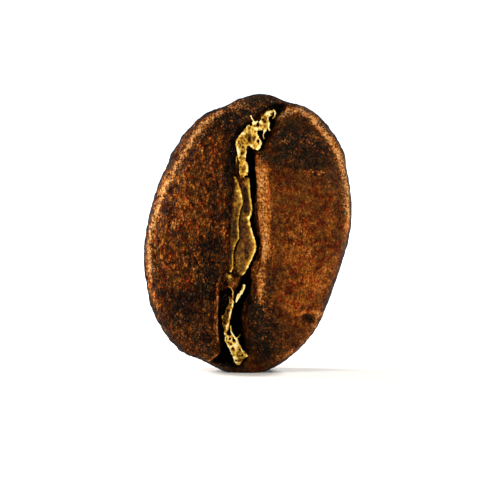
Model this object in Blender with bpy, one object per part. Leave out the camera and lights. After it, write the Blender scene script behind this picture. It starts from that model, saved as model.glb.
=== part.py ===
"""A roasted coffee bean that stands on its end, with torn silverskin in its crease.

X runs across the bean, Y from its flat face at the front to its domed back, and Z up its length. The seed
is one solid, lofted through closed sections. Each section starts in the slit of the crease, goes over the
right lip and face to the right rim, round the back to the left rim, and over the left face and lip into
the crease again. The lower sections are level, and the upper ones fan in to the pole where the crease
leaves the face. The silverskin pieces are thin strips laid in the crease.
"""

import functools
import math

import bmesh
import bpy
import numpy as np

MM = 0.001

# Overall shape of the seed, in millimetres
HEIGHT = 10.7
FACE_DEPTH = 1.5
BACK_DEPTH = 3.3
MIDDLE_HEIGHT = 5.35
HALF_LENGTH = 5.77
FACE_FULLNESS = 2.5
FACE_END_FULLNESS = 0.85
BACK_END_FULLNESS = 0.74
BACK_DROP = 0.25
RIM_SETBACK_AT_FOOT = 0.3
FOOT_SETBACK_HEIGHT = 3.0
RIM_SETBACK_AT_TOP = 0.35

# Outline of the seed seen from the front, as (x, z) points from the flat spot to the pole
LEFT_RIM = (
    (-1.02, 0.0), (-1.52, 0.30), (-2.15, 0.67), (-2.75, 1.10), (-3.40, 2.00), (-3.85, 3.15), (-4.00, 4.55),
    (-3.82, 5.80), (-3.40, 7.20), (-2.72, 8.50), (-1.85, 9.65), (-1.00, 10.18), (-0.20, 10.55),
    (0.45, HEIGHT), (1.05, 10.56), (1.52, 10.28),
)
RIGHT_RIM = (
    (0.97, 0.0), (1.38, 0.33), (1.98, 0.87), (2.62, 1.68), (3.15, 2.80), (3.62, 4.15), (3.93, 5.30),
    (4.00, 6.35), (3.88, 7.40), (3.55, 8.55), (2.90, 9.60), (2.25, 10.10), (1.52, 10.28),
)

# The slit at the bottom of the crease, as (x, z) points from the foot to the pole
SLIT = (
    (-0.08, 0.0), (-0.25, 0.63), (-0.38, 1.30), (-0.42, 2.05), (-0.30, 2.80), (-0.04, 3.52), (0.22, 4.20),
    (0.36, 4.80), (0.28, 5.50), (0.20, 6.30), (0.17, 7.10), (0.12, 7.80), (0.15, 8.35), (0.36, 8.83),
    (0.68, 9.30), (1.04, 9.76), (1.52, 10.28),
)

# The crease by height up the slit, as (z, millimetres): its two lips, its depth and its ledges
LEFT_LIP = (
    (0.0, 0.70), (0.45, 1.22), (0.63, 1.02), (0.90, 0.78), (1.40, 0.70), (2.05, 0.72), (2.80, 0.84),
    (3.60, 0.98), (4.40, 1.12), (4.90, 1.14), (5.60, 0.94), (6.40, 0.80), (7.20, 0.71), (8.30, 0.70),
    (8.85, 0.80), (9.30, 0.68), (9.76, 0.56), (10.10, 0.32), (10.28, 0.12),
)
RIGHT_LIP = (
    (0.0, 0.7), (0.63, 0.75), (1.30, 0.98), (2.05, 1.14), (2.80, 1.12), (3.60, 0.98), (4.40, 0.80),
    (5.50, 0.76), (7.20, 0.74), (8.30, 0.66), (9.00, 0.58), (9.70, 0.42), (10.28, 0.12),
)
SLIT_DEPTH = (
    (0.0, 0.0), (0.36, 0.0), (0.62, 0.95), (1.20, 1.45), (2.20, 1.75), (5.00, 1.85), (8.00, 1.75),
    (9.00, 1.35), (9.70, 0.85), (10.28, 0.10),
)
LEFT_LEDGE_DEPTH = (
    (0.0, 0.0), (0.36, 0.0), (0.62, 0.80), (1.20, 1.00), (2.60, 0.90), (3.50, 0.50), (8.30, 0.44),
    (9.00, 0.50), (9.70, 0.36), (10.28, 0.05),
)
RIGHT_LEDGE_DEPTH = (
    (0.0, 0.0), (0.36, 0.0), (0.62, 0.60), (1.20, 0.85), (2.60, 0.80), (3.60, 0.62), (8.30, 0.58),
    (9.00, 0.55), (9.70, 0.36), (10.28, 0.05),
)
SLIT_SHARE = 0.26
SLIT_FLOOR_SHARE = 0.08
LEFT_LIP_STEEPNESS = 0.80
RIGHT_LEDGE_FALL = 1.5

# How finely the seed is divided
FINE_HEIGHT = 1.3
FINE_SECTIONS = 14
FAN_HEIGHT = 7.2
LEVEL_SECTIONS = 25
FAN_SECTIONS = 16
FACE_POINTS = 12
BACK_POINTS = 22
LEDGE_SHARES = (0.10, 0.26, 0.45, 0.66, 0.84, 1.0)
STEPS_BETWEEN_POINTS = 24
OUTLINE_POINTS = 600
TABLE_POINTS = 200

# The silverskin, as (height up the slit, left edge, right edge, depth under the face) in millimetres
SKIN_THICKNESS = 0.10
FLAKE = (
    (8.22, -0.56, -0.18, 0.18), (8.50, -0.62, -0.12, 0.12), (8.85, -0.70, 0.16, 0.04), (9.10, -0.58, 0.06, 0.04),
    (9.35, -0.46, 0.10, 0.06), (9.60, -0.44, 0.00, 0.08), (9.85, -0.38, -0.06, 0.10), (10.00, -0.28, -0.08, 0.10),
)
RIBBON = (
    (3.35, -0.74, -0.50, 0.26), (3.90, -0.84, -0.64, 0.24), (4.30, -0.96, -0.78, 0.22), (4.87, -1.02, -0.76, 0.20),
    (5.25, -0.94, -0.64, 0.20), (5.83, -0.80, -0.54, 0.18), (6.60, -0.68, -0.40, 0.18), (7.44, -0.60, -0.38, 0.16),
    (7.80, -0.58, -0.14, 0.16), (8.10, -0.56, -0.14, 0.16),
)
LEAF = (
    (3.62, -0.42, -0.18, 0.26), (3.90, -0.56, -0.16, 0.22), (4.30, -0.70, -0.10, 0.20), (4.70, -0.68, -0.06, 0.18),
    (5.06, -0.60, -0.06, 0.16), (5.60, -0.46, -0.08, 0.14), (6.10, -0.28, -0.08, 0.14), (6.60, -0.30, -0.05, 0.12),
    (7.20, -0.28, -0.05, 0.12), (7.42, -0.24, -0.06, 0.14),
)
TUFT = (
    (0.52, -0.10, 0.24, 0.06), (0.66, -0.26, 0.38, 0.06), (1.02, -0.44, 0.16, 0.10), (1.40, -0.50, 0.04, 0.16),
    (1.98, -0.38, -0.06, 0.26), (2.37, -0.26, 0.00, 0.30), (2.75, -0.28, 0.14, 0.28), (3.20, -0.40, 0.10, 0.28),
)
SKIN_STEPS = 24
POINTS_ACROSS_SKIN = 5


@functools.lru_cache(maxsize=None)
def curve_through(points, count):
    """Points spaced evenly along a smooth curve through a few given ones."""
    given = np.array(points, float)
    knots = np.vstack([2 * given[0] - given[1], given, 2 * given[-1] - given[-2]])
    share = np.linspace(0.0, 1.0, STEPS_BETWEEN_POINTS, endpoint=False)[:, None]
    pieces = []
    for a, b, c, d in zip(knots, knots[1:], knots[2:], knots[3:]):
        bend = 2 * a - 5 * b + 4 * c - d
        twist = 3 * b - a - 3 * c + d
        pieces.append(b + 0.5 * share * ((c - a) + share * (bend + share * twist)))
    dense = np.vstack([*pieces, given[-1:]])
    steps = np.linalg.norm(np.diff(dense, axis=0), axis=1)
    along = np.concatenate([[0.0], np.cumsum(steps)])
    wanted = np.linspace(0.0, along[-1], count)
    return np.column_stack([np.interp(wanted, along, dense[:, k]) for k in range(given.shape[1])])


def value_at(stations, height):
    """A quantity given at a few heights, read from a smooth curve through them."""
    curve = curve_through(stations, TABLE_POINTS)
    return float(np.interp(height, curve[:, 0], curve[:, 1]))


def smooth_step(start, end, value):
    share = min(1.0, max(0.0, (value - start) / (end - start)))
    return share * share * (3.0 - 2.0 * share)


def level_heights():
    """Heights of the level sections, closer together where the hollow opens near the foot."""
    low = np.linspace(0.0, FINE_HEIGHT, FINE_SECTIONS, endpoint=False)
    return np.concatenate([low, np.linspace(FINE_HEIGHT, FAN_HEIGHT, LEVEL_SECTIONS)])


class Line:
    """A line up the seed, followed by height below the fan and by its own length above."""

    def __init__(self, points):
        self.points = curve_through(points, OUTLINE_POINTS)
        top = int(np.argmax(self.points[:, 1]))
        self.rising = self.points[: top + 1]
        start = int(np.searchsorted(self.rising[:, 1], FAN_HEIGHT))
        self.fan = self.points[start:]

    def at(self, height, fan_share):
        if fan_share <= 0.0:
            return np.array([np.interp(height, self.rising[:, 1], self.rising[:, 0]), height])
        place = fan_share * (len(self.fan) - 1)
        index = np.arange(len(self.fan))
        return np.array([np.interp(place, index, self.fan[:, k]) for k in (0, 1)])


class Section:
    """One closed section of the seed, level below FAN_HEIGHT and fanned above it."""

    left_rim = Line(LEFT_RIM)
    right_rim = Line(RIGHT_RIM)
    slit = Line(SLIT)

    def __init__(self, height, fan_share=0.0):
        self.left = self.left_rim.at(height, fan_share)
        self.right = self.right_rim.at(height, fan_share)
        self.centre = self.slit.at(height, fan_share)
        start = math.asin((min(height, FAN_HEIGHT) - MIDDLE_HEIGHT) / HALF_LENGTH)
        self.latitude = start + fan_share * (0.5 * math.pi - start)
        roundness = max(0.0, math.cos(self.latitude))
        self.face = FACE_DEPTH * roundness**FACE_END_FULLNESS
        self.back = BACK_DEPTH * roundness**BACK_END_FULLNESS
        self.drop = BACK_DROP * math.sin(math.pi * fan_share) ** 2
        low = 1.0 - smooth_step(0.0, FOOT_SETBACK_HEIGHT, height)
        self.rim_y = RIM_SETBACK_AT_FOOT * low + RIM_SETBACK_AT_TOP * smooth_step(0.3, 1.0, fan_share)

    def crease_height(self):
        return self.centre[1]

    def face_point(self, offset, sink=0.0):
        """The point at this distance from the slit, negative to the left, sunk this far into the face."""
        rim = self.right if offset >= 0.0 else self.left
        reach = np.linalg.norm(rim - self.centre)
        share = min(1.0, abs(offset) / reach)
        x, z = self.centre + (rim - self.centre) * share
        depth = self.face * (1.0 - share**FACE_FULLNESS) ** (1.0 / FACE_FULLNESS)
        return (x, self.rim_y - depth + sink, z)

    def crease_side(self, side):
        """The points from beside the slit to the lip on one side: -1 is left, 1 is right."""
        height = self.crease_height()
        lip = value_at(LEFT_LIP if side < 0 else RIGHT_LIP, height)
        ledge = value_at(LEFT_LEDGE_DEPTH if side < 0 else RIGHT_LEDGE_DEPTH, height)
        depth = max(ledge, value_at(SLIT_DEPTH, height))
        points = []
        for share in LEDGE_SHARES:
            if side < 0:
                fall = 1.0 - smooth_step(LEFT_LIP_STEEPNESS, 1.0, share)
            else:
                fall = (1.0 - share) ** RIGHT_LEDGE_FALL
            slit = (depth - ledge) * (1.0 - smooth_step(SLIT_FLOOR_SHARE, SLIT_SHARE, share))
            points.append(self.face_point(side * lip * share, ledge * fall + slit))
        return points, lip

    def face_side(self, side, lip):
        """The points from the lip to the rim, closer together where the face rolls into the rim."""
        reach = np.linalg.norm((self.left if side < 0 else self.right) - self.centre)
        start = math.asin(min(1.0, lip / reach) ** (0.5 * FACE_FULLNESS))
        angles = np.linspace(start, 0.5 * math.pi, FACE_POINTS + 1)[1:]
        return [self.face_point(side * reach * math.sin(a) ** (2.0 / FACE_FULLNESS)) for a in angles]

    def back_side(self):
        """The points round the domed back, from the right rim to the left one."""
        middle, half = (self.right + self.left) / 2.0, (self.right - self.left) / 2.0
        points = []
        for angle in np.linspace(0.0, math.pi, BACK_POINTS + 2)[1:-1]:
            x, z = middle + half * math.cos(angle)
            bulge = math.sin(angle)
            points.append((x, self.rim_y + self.back * bulge, z - self.drop * bulge))
        return points

    def loop(self):
        right_crease, right_lip = self.crease_side(1)
        left_crease, left_lip = self.crease_side(-1)
        depth = value_at(SLIT_DEPTH, self.crease_height())
        return [
            self.face_point(0.0, depth),
            *right_crease,
            *self.face_side(1, right_lip),
            *self.back_side(),
            *reversed(self.face_side(-1, left_lip)),
            *reversed(left_crease),
        ]


def seed_sections():
    sections = [Section(height) for height in level_heights()]
    shares = np.linspace(0.0, 1.0, FAN_SECTIONS + 1)[1:-1]
    return sections + [Section(FAN_HEIGHT, share) for share in shares]


def section_at(height):
    """The section whose slit is at this height."""
    if height <= FAN_HEIGHT:
        return Section(height)
    shares = np.linspace(0.0, 1.0, TABLE_POINTS)
    heights = [Section.slit.at(FAN_HEIGHT, share)[1] for share in shares[1:]]
    return Section(FAN_HEIGHT, float(np.interp(height, heights, shares[1:])))


def new_material(name, colour, roughness):
    material = bpy.data.materials.new(name)
    material.use_nodes = True
    shader = material.node_tree.nodes["Principled BSDF"]
    shader.inputs["Base Color"].default_value = (*colour, 1.0)
    shader.inputs["Roughness"].default_value = roughness
    shader.inputs["Metallic"].default_value = 0.0
    return material


def lofted(name, loops, material, pole=None):
    """A closed solid through closed loops, flat at the start and at the end flat or drawn to a pole."""
    shape = bmesh.new()
    rings = [[shape.verts.new(point) for point in loop] for loop in loops]
    for lower, upper in zip(rings, rings[1:]):
        for here, there in zip(range(-1, len(lower) - 1), range(len(lower))):
            shape.faces.new((lower[here], lower[there], upper[there], upper[here]))
    shape.faces.new(reversed(rings[0]))
    if pole is None:
        shape.faces.new(rings[-1])
    else:
        tip = shape.verts.new(pole)
        for here, there in zip(range(-1, len(rings[-1]) - 1), range(len(rings[-1]))):
            shape.faces.new((rings[-1][here], rings[-1][there], tip))
    bmesh.ops.recalc_face_normals(shape, faces=shape.faces)
    mesh = bpy.data.meshes.new(name)
    shape.to_mesh(mesh)
    shape.free()
    mesh.shade_smooth()
    mesh.materials.append(material)
    solid = bpy.data.objects.new(name, mesh)
    bpy.context.scene.collection.objects.link(solid)
    return solid


def seed(material):
    sections = seed_sections()
    x, z = Section.slit.points[-1]
    return lofted("bean", [section.loop() for section in sections], material, pole=(x, RIM_SETBACK_AT_TOP, z))


def skin_strip(name, stations, material):
    """A thin closed strip laid in the crease, as deep under the face as its stations say."""
    loops = []
    heights = np.linspace(stations[0][0], stations[-1][0], SKIN_STEPS)
    curve = curve_through(stations, TABLE_POINTS)
    for height in heights:
        left, right, sink = (float(np.interp(height, curve[:, 0], curve[:, k])) for k in (1, 2, 3))
        section = section_at(height)
        offsets = np.linspace(left, right, POINTS_ACROSS_SKIN)
        front = [section.face_point(offset, sink) for offset in offsets]
        behind = [section.face_point(offset, sink + SKIN_THICKNESS) for offset in offsets]
        loops.append(front + behind[::-1])
    return lofted(name, loops, material)


def clear_scene():
    for item in list(bpy.data.objects):
        bpy.data.objects.remove(item, do_unlink=True)


def stand_on_origin(solids):
    """Moves the solids together so that the seed's box stands centred on the origin, in metres."""
    corners = np.array([vertex.co for vertex in solids[0].data.vertices])
    low, high = corners.min(axis=0), corners.max(axis=0)
    centre = ((low[0] + high[0]) / 2.0, (low[1] + high[1]) / 2.0, low[2])
    for solid in solids:
        for vertex in solid.data.vertices:
            vertex.co = [(value - middle) * MM for value, middle in zip(vertex.co, centre)]


def main():
    clear_scene()
    roasted = new_material("roasted seed", (0.085, 0.030, 0.011), 0.45)
    papery = new_material("golden silverskin", (0.46, 0.26, 0.06), 0.55)
    solids = [seed(roasted)]
    for name, stations in (
        ("silverskin_flake", FLAKE),
        ("silverskin_ribbon", RIBBON),
        ("silverskin_leaf", LEAF),
        ("silverskin_tuft", TUFT),
    ):
        solids.append(skin_strip(name, stations, papery))
    stand_on_origin(solids)


main()
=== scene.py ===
"""Looks of a roasted coffee bean that stands on its end, with torn golden silverskin in its crease.

The seed is a finer copy of its CAD node, sculpted and shaded along strokes. Each sheet of silverskin is a
grid cut to a torn outline, laid at the depth of its CAD strip, folded, and given its thickness.
"""

import math
from functools import partial
import bmesh
import bpy
import numpy as np
from bpy.props import FloatProperty, FloatVectorProperty, PointerProperty
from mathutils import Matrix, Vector, noise
from mathutils.bvhtree import BVHTree


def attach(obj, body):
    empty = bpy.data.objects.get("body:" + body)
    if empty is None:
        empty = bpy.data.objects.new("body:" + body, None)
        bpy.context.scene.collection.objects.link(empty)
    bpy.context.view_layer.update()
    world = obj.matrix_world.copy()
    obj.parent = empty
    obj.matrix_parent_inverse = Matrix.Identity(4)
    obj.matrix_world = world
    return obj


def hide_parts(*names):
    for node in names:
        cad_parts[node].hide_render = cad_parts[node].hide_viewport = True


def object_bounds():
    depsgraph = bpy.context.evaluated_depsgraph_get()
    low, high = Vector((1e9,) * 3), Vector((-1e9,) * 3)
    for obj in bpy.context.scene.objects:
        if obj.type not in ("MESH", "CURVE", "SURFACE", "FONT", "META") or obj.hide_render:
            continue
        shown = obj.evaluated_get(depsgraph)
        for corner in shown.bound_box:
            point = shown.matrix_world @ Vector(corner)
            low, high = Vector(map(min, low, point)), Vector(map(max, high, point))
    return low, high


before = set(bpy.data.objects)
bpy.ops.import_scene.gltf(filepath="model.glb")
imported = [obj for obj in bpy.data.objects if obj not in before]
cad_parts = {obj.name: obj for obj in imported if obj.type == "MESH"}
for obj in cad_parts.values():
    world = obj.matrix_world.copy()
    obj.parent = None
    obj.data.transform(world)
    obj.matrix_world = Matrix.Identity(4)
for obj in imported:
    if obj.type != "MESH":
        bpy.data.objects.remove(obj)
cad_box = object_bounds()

bl_info = {
    "name": "Coffee Bean",
    "version": (1, 0, 0),
    "blender": (4, 5, 0),
    "location": "3D View > Sidebar > Coffee Bean",
    "description": "Models and finishes a roasted coffee bean and the silverskin in its crease",
    "category": "Object",
}

MM = 0.001
TABLE_SCALE = 100.0

# Spans over which a share grows from nought to one: across, up or under the filled face, in millimetres
LEFT_LOBE = (0.3, -0.9)
LOWER_HALF = (4.6, 2.4)
OVER_THE_FOOT = (0.05, 0.5)
CREASE_WALLS = (0.1, 0.3)
PAINTED_CREASE_SHADE_DEPTH = (0.55, 0.95)
CREASE_BOTTOM = (0.9, 1.6)
# The same for the Y of the normals, which is below nought at the front
FRONT_TURN = (0.25, -0.25)
PAST_THE_RIM = (-0.60, -0.25)
BEFORE_THE_BACK = (0.4, 0.0)
# The finest mesh lies in front of this Y, in millimetres
FINE_FRONT = -0.9
GRANULE_HEIGHT = 0.035
# The corners of the foot are worn below a height, by widths across spans, in millimetres
FOOT_HEIGHT = 0.5
FOOT_WEAR = ((-0.30, (0.3, 1.0)), (0.14, (-0.4, -1.0)))

# The tables hold hundredths: of a millimetre for places and sizes, and of one for strengths. Paths are x, z,
# x, z and so on across the face. A stroke is (path, half width, height), and a shade is the same with a
# lighter or darker roast for the height.
RAISED_STROKES = (
    ((-272, 852, -218, 923, -153, 988), 45, 12), ((188, 1021, 265, 976, 318, 915, 356, 847), 45, 10),
    ((-348, 258, -303, 155, -243, 78), 45, 12), ((212, 93, 282, 194), 40, 6),
    ((-95, 1001, -160, 966, -218, 920, -265, 864, -299, 804, -329, 739, -348, 672, -363, 603), 16, 7),
    ((-367, 580, -371, 512, -367, 443, -352, 375), 10, 6), ((-344, 567, -340, 502, -332, 437), 10, 5),
    ((-114, 345, -114, 268, -116, 189, -111, 138, -103, 106, -111, 74, -142, 49), 7, 5),
    ((188, 996, 264, 954, 314, 901, 345, 848, 364, 783, 379, 718, 383, 642, 379, 565), 14, 7),
    ((195, 223, 222, 238, 261, 228, 280, 234), 7, 5), ((-42, 1030, 12, 1049, 62, 1056, 111, 1041), 30, 3),
    ((138, 978, 111, 933, 88, 877, 73, 821), 10, 3),
)
SUNK_STROKES = (
    ((-355, 573, -357, 505, -352, 429), 7, 7), ((-168, 228, -187, 201, -193, 173, -183, 141), 6, 6),
    ((-233, 239, -218, 200, -222, 160), 6, 3), ((226, 218, 245, 209), 12, 13),
    ((215, 198, 211, 166, 223, 132), 6, 4),
    ((-80, 896, -84, 802, -91, 708, -95, 613, -99, 517, -106, 433), 22, 5),
    ((-267, 743, -286, 648, -297, 553, -298, 457), 10, 3),
    ((-194, 783, -213, 688, -228, 573, -229, 478), 12, 3), ((-148, 726, -156, 612, -164, 517), 12, 3),
    ((-255, 401, -236, 317, -210, 255), 12, 3), ((57, 776, 126, 776, 202, 779, 286, 771), 12, 3),
    ((314, 430, 287, 341, 257, 272), 20, 3),
)
# Round the crease and its lips, where the mesh is finer
FINE_FACE = (
    12, 1060, 150, 1058, 134, 978, 111, 896, 96, 821, 103, 670, 107, 517, 99, 402, 80, 287, 58, 170,
    58, 42, -126, 41, -134, 170, -133, 345, -103, 402, -95, 555, -87, 746, -80, 859, -57, 952
)
# Shelves are (outline, softness of the edge, depth that they keep at most)
SHELVES = (
    ((23, 859, 23, 821, 25, 783, 33, 749, 34, 708, 25, 677, 21, 647, 22, 617, 25, 586, 30, 552, 44, 517,
      44, 491, 37, 468, 26, 445, 16, 422, 10, 402, 57, 379, 96, 433, 103, 517, 95, 670, 88, 821,
      57, 859), 1.5, 25),
    ((-23, 279, 12, 318, 58, 240, 58, 110, 12, 82, -15, 138, -34, 209), 16, 60),
    ((27, 433, 65, 449, 88, 379, 80, 287, 42, 240, 16, 287, 8, 333, 4, 379), 14, 34),
)
# These strokes paint highlights along the rims, lips and lit edges and round a pit, paint shade in the crease
# and in the pit, and paint lighter and darker roast elsewhere
ROAST_AND_PAINTED_LIGHT_STROKES = (
    ((-95, 1001, -157, 967, -202, 917, -239, 857, -283, 780, -321, 704, -350, 627, -371, 550, -379, 473,
      -377, 396, -369, 319, -344, 262), 10, 36),
    ((-340, 282, -310, 213, -264, 142, -211, 87, -157, 47), 20, 12), ((-80, 971, -27, 1001), 42, -30),
    ((-34, 919, -57, 878, -68, 802, -72, 708, -80, 613), 20, -22),
    ((-148, 494, -156, 440, -152, 383, -149, 318), 40, -24), ((-240, 301, -233, 223), 34, -12),
    ((-248, 856, -240, 725, -278, 572), 30, 9), ((-125, 586, -133, 517), 26, -10),
    ((309, 649, 317, 515, 306, 418, 287, 329), 34, 9), ((-27, 114, -11, 82), 20, -12),
    ((-4, 302, -19, 240, 0, 154), 16, 22), ((-180, 149, -141, 110), 30, -12),
    ((-114, 349, -114, 268, -116, 189, -111, 138, -101, 106, -111, 74, -146, 48), 5, 50),
    ((-87, 708, -91, 624, -95, 525), 5, 20), ((-72, 753, -76, 685), 4, 16),
    ((-340, 646, -355, 566, -351, 490), 5, 26), ((-310, 778, -340, 680, -355, 589, -363, 493), 13, 7),
    ((-336, 559, -332, 491, -328, 430), 5, 18), ((12, 1034, 58, 1041, 96, 1030), 28, -20),
    ((-42, 1001, -27, 1031, -65, 1016), 20, 10), ((-49, 1016, -11, 1023), 16, 12),
    ((153, 926, 203, 940), 45, -11), ((157, 858, 225, 858, 287, 827), 45, -8),
    ((96, 810, 202, 798, 302, 804), 16, -4), ((119, 978, 153, 1007, 203, 1010, 257, 973), 12, 26),
    ((253, 966, 285, 932, 318, 894, 341, 855, 366, 779, 383, 702, 385, 626, 383, 557), 10, 37),
    ((379, 565, 376, 471), 12, 14), ((202, 612, 221, 497, 233, 382, 214, 305), 80, 12),
    ((202, 409, 249, 342, 203, 270), 55, 5),
    ((54, 765, 55, 651, 65, 548, 69, 479, 54, 402, 50, 318, 46, 271), 20, 10),
    ((65, 487, 50, 426, 46, 364, 46, 295), 12, 10), ((-87, 329, -42, 349, 12, 387), 12, 25),
    ((-126, 189, -122, 130, -134, 90), 10, 10), ((272, 251, 246, 180, 211, 125), 20, 8),
    ((38, 889, 57, 836), 24, -20), ((73, 433, 88, 364, 80, 287), 18, -8),
    ((19, 402, 16, 349, 23, 302), 14, 10), ((4, 287, 19, 209, 42, 130, 65, 82), 42, -22),
    ((96, 217, 127, 129), 50, -7), ((57, 859, 65, 821), 16, -14), ((226, 218, 245, 209), 11, -35),
    ((195, 231, 226, 241, 272, 235), 7, 22), ((265, 211, 288, 233), 7, 22),
    ((288, 224, 258, 165, 212, 97, 158, 62), 14, 14), ((146, 80, 96, 49), 14, 10),
    ((-134, 31, -73, 18, -4, 14), 16, -5),
)
# Where the coat is granular or greenish, as (path, half width, strength)
# The granular strokes on the rims and lips also bring more and paler painted glints
GRANULAR_STROKES = (
    ((54, 844, 56, 746, 57, 651, 65, 548, 67, 471, 57, 395, 54, 318, 50, 264), 24, 60),
    ((-95, 1001, -157, 967, -198, 917, -237, 857, -283, 780, -321, 704, -348, 627, -367, 550, -375, 473,
      -371, 397), 15, 80),
    ((119, 978, 153, 1007, 203, 1010, 257, 973, 299, 927, 329, 878, 356, 825, 371, 756, 383, 687,
      383, 611), 22, 80),
    ((-57, 1023, -11, 1031), 25, 70), ((-272, 166, -180, 109, -134, 90), 50, 15),
    ((288, 224, 212, 97, 127, 56), 25, 50),
)
MOSSY_STROKES = (
    ((-72, 971, -34, 1001), 45, 80), ((-164, 433, -148, 364), 40, 80), ((-126, 170, -149, 110), 30, 50),
    ((145, 896, 183, 858), 50, 90), ((210, 910, 279, 850), 34, 80), ((35, 248, 50, 170, 73, 110), 50, 80),
    ((81, 1030, 19, 1023, -27, 1016), 34, 100), ((240, 783, 286, 774), 20, 70),
    ((-294, 614, -286, 561), 20, 60), ((202, 574, 241, 459), 30, 25),
)
# Patches are (outline, softness of the edge, lighter or darker roast)
# These patches paint shade in the crease, along its top and in the hollow under it, paint a highlight on the
# right lip, and paint darker roast on the right lobe
ROAST_AND_PAINTED_LIGHT_PATCHES = (
    ((123, 982, 173, 1003, 226, 984, 279, 932, 321, 867, 337, 826, 344, 788, 302, 797, 221, 787, 157, 795,
      103, 802, 80, 829, 88, 881, 103, 933), 10, -10),
    ((81, 1023, 107, 1034, 138, 1028, 130, 1011, 115, 993, 107, 967, 96, 937, 84, 907, 69, 885, 54, 862,
      31, 851, 35, 870, 57, 896, 73, 930, 88, 974, 84, 1004), 5, -52),
    ((4, 855, 25, 851, 27, 821, 30, 783, 35, 746, 35, 708, 28, 670, 25, 647, 26, 613, 32, 575, 37, 548,
      46, 517, 45, 494, 38, 471, 27, 448, 17, 426, 8, 406, -4, 387, -19, 364, -19, 379, -4, 410, 16, 448,
      29, 487, 33, 525, 19, 586, 16, 655, 8, 723, 4, 791), 3, -60),
    ((26, 851, 57, 862, 78, 829, 82, 783, 85, 708, 88, 651, 92, 613, 88, 563, 88, 517, 80, 471, 73, 426,
      67, 379, 65, 326, 59, 287, 46, 264, 35, 302, 35, 349, 33, 395, 38, 429, 46, 460, 50, 491, 50, 517,
      35, 552, 31, 575, 25, 613, 24, 647, 27, 677, 38, 708, 38, 746, 30, 783, 27, 821), 4, 17),
    ((-4, 963, -34, 941, -61, 904, -68, 859, -64, 806, -49, 806, -53, 859, -42, 904, -15, 937,
      16, 963), 5, -30),
    ((-99, 322, -61, 337, -49, 287, -72, 201, -80, 130, -61, 59, -27, 27, -96, 26, -142, 44, -107, 74,
      -99, 110, -111, 150, -110, 268), 5, -50),
    ((-26, 341, 35, 379, 57, 326, 58, 240, 81, 169, 127, 89, 104, 49, 42, 42, 4, 82, -27, 138, -49, 201,
      -42, 271), 14, -10),
)

# A sheet of silverskin has outlines, strands as (path, width), holes as (middle, radius), and folds as
# (path, half width, strength)
# A fold raises the sheet and gets a painted highlight, one of negative strength sinks it and gets painted
# shade, and each torn edge gets a painted highlight of its own strength
FLAKE = {
    "lightness": 0.25,
    "crumple": 1.0,
    "painted_edge_highlight": 0.16,
    "outlines": (
        (0, 956, 12, 952, 27, 944, 38, 941, 38, 922, 46, 907, 54, 894, 56, 884, 50, 869, 40, 858, 29, 862,
         16, 868, 8, 877, -2, 873, -4, 862, -5, 839, -7, 820, 2, 809, 4, 783, 0, 764, -7, 768, -13, 754,
         -21, 764, -26, 752, -30, 775, -32, 802, -34, 828, -38, 851, -42, 866, -46, 885, -44, 900, -34, 911,
         -23, 924, -11, 939),
        (19, 974, 31, 967, 35, 955, 31, 944, 21, 948, 17, 961),
        (44, 966, 54, 978, 65, 983, 77, 977, 81, 963, 77, 944, 65, 929, 54, 935, 44, 948),
        (65, 996, 77, 1005, 88, 1009, 96, 1003, 94, 990, 84, 983, 73, 981, 67, 985),
    ),
    "strands": (
        ((12, 989, 19, 976, 27, 963), 5), ((27, 959, 40, 967), 6), ((23, 950, 38, 942, 50, 937), 10),
        ((92, 1003, 102, 1011, 107, 999, 104, 988, 98, 977), 5.5), ((77, 979, 82, 964, 81, 952, 84, 933), 6),
        ((73, 939, 63, 928, 59, 915, 64, 903), 6), ((58, 981, 69, 990), 14),
        ((-42, 873, -36, 854, -36, 839, -42, 828, -42, 809), 5),
    ),
    "holes": (
        ((68, 966), 4.5), ((-19, 870), 3.5), ((-21, 849), 4), ((43, 896), 3), ((41, 891), 3), ((-28, 832), 3),
    ),
    "folds": (
        ((8, 952, -4, 939, -19, 922, -34, 905, -40, 885, -32, 866, -34, 847), 7, 90),
        ((33, 937, 37, 918, 48, 898, 53, 885, 46, 869, 38, 860), 7, 125), ((38, 881, 44, 869), 8, 90),
        ((-19, 911, -5, 898, 2, 885), 8, 70), ((37, 903, 27, 888, 17, 875), 5, 80),
        ((16, 877, 21, 866), 6, 90), ((12, 937, 23, 944, 38, 941), 5, 60),
        ((-11, 922, 0, 930, 12, 930), 6, 50), ((19, 930, 25, 915, 23, 903), 6, 70),
        ((-15, 892, -7, 881, -4, 868), 5, 50),
        ((-2, 858, -7, 839, -11, 820, -2, 805, 0, 783, -5, 768), 8, 100),
        ((-28, 858, -32, 835, -26, 813, -21, 802), 5, 50), ((12, 989, 21, 974, 27, 959), 6, 110),
        ((23, 961, 38, 967), 6, 100), ((50, 966, 58, 955, 52, 944), 8, 90), ((58, 937, 73, 942), 6, 50),
        ((73, 996, 86, 998, 88, 988), 10, 110), ((100, 1009, 106, 999, 102, 985), 5, 110),
        ((79, 976, 82, 959, 83, 933), 5, 120), ((71, 935, 61, 924, 61, 907), 5, 110),
        ((-40, 870, -36, 847, -42, 820), 5, 80), ((-4, 900, 4, 892), 12, -30), ((8, 915, 16, 900), 10, -35),
        ((-15, 902, -11, 896), 10, -35), ((-25, 820, -21, 783), 8, -30),
    ),
}
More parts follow.
